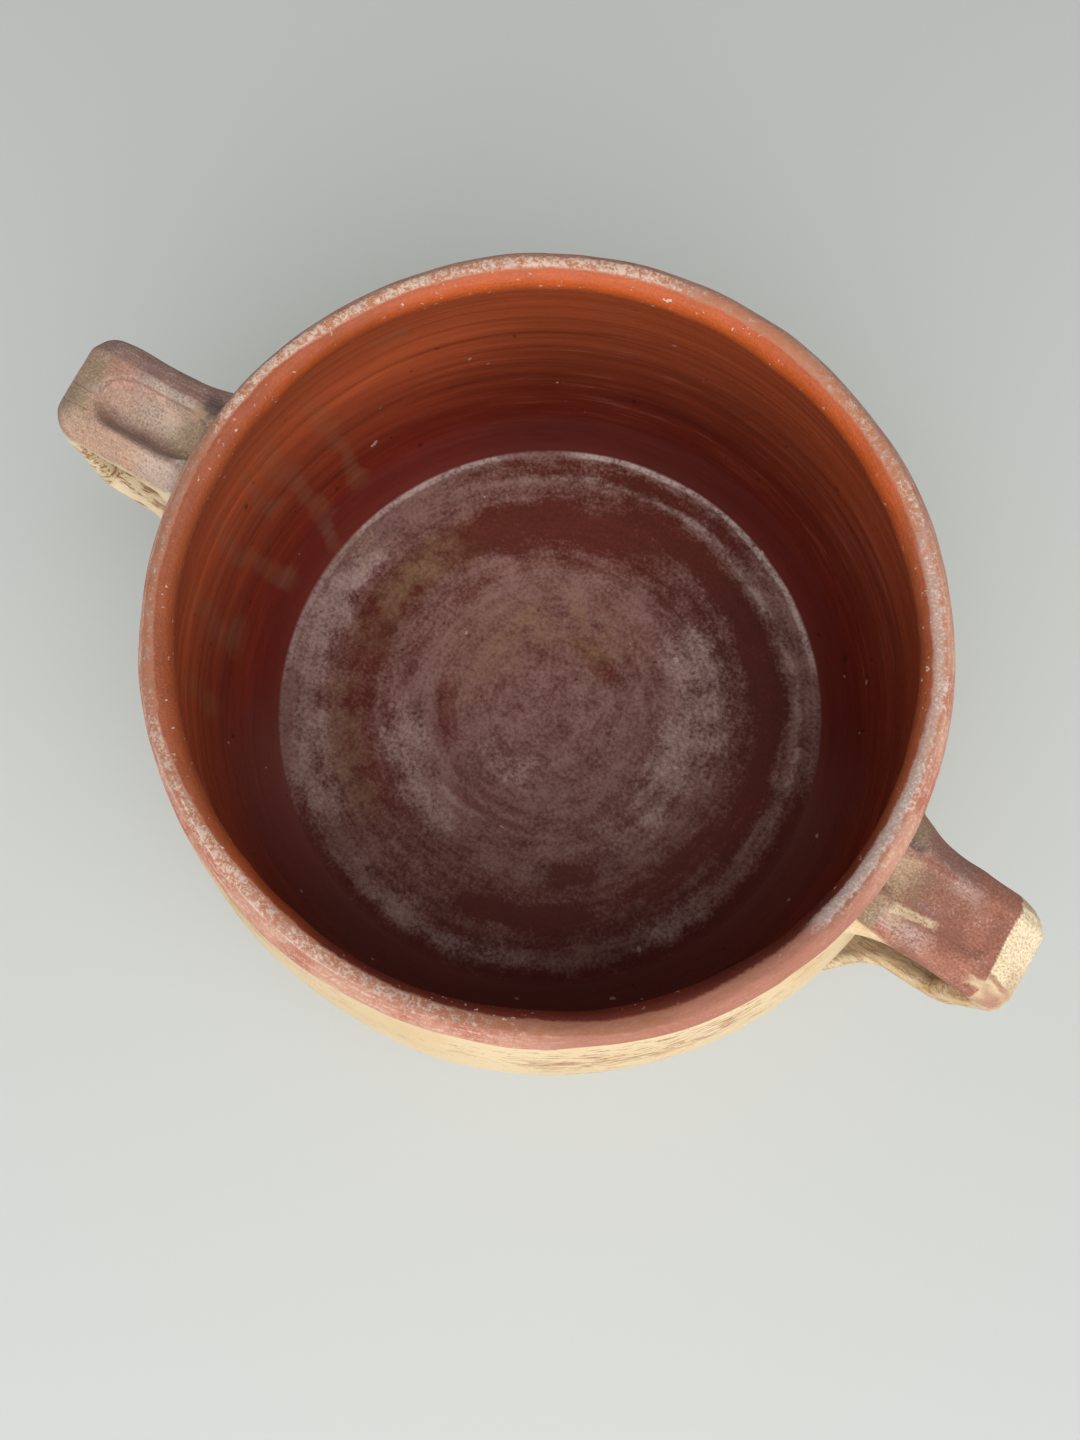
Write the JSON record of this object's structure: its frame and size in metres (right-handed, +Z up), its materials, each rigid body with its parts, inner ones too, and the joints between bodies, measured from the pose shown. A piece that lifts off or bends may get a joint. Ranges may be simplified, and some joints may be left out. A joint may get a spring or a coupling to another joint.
{
  "type": "two-handled earthenware cooking pot",
  "caption": "Round-bellied earthenware olla with a rolled lip, glossy glazed inside, flat foot and strap handles luted on below the rim; for cooking and serving.",
  "frame": {"origin": "middle of the flat foot, on the surface that the pot stands on", "axes": "+Z up the pot's axis, +X towards the right handle and -X towards the left one, along the line that splits their slight skew"},
  "size_m": [0.3238, 0.254, 0.138],
  "materials": {
    "glazed_body": "glossy red-brown glaze inside, cream slip with red-brown flecks outside",
    "glazed_lip": "amber glaze on the inner face, worn dusty pink clay on the outer edge",
    "slipped_clay": "matte red-brown slip, worn to cream on the bends",
    "luting_clay": "matte smeared buff clay"
  },
  "bodies": {
    "root": {"base": "glazed_body", "lower_wall": "glazed_body", "upper_wall": "glazed_body", "rim_coil": "glazed_lip", "right_strap": "slipped_clay", "left_strap": "slipped_clay", "right_upper_lute": "luting_clay", "right_lower_lute": "luting_clay", "left_upper_lute": "luting_clay", "left_lower_lute": "luting_clay"}
  },
  "joints": []
}
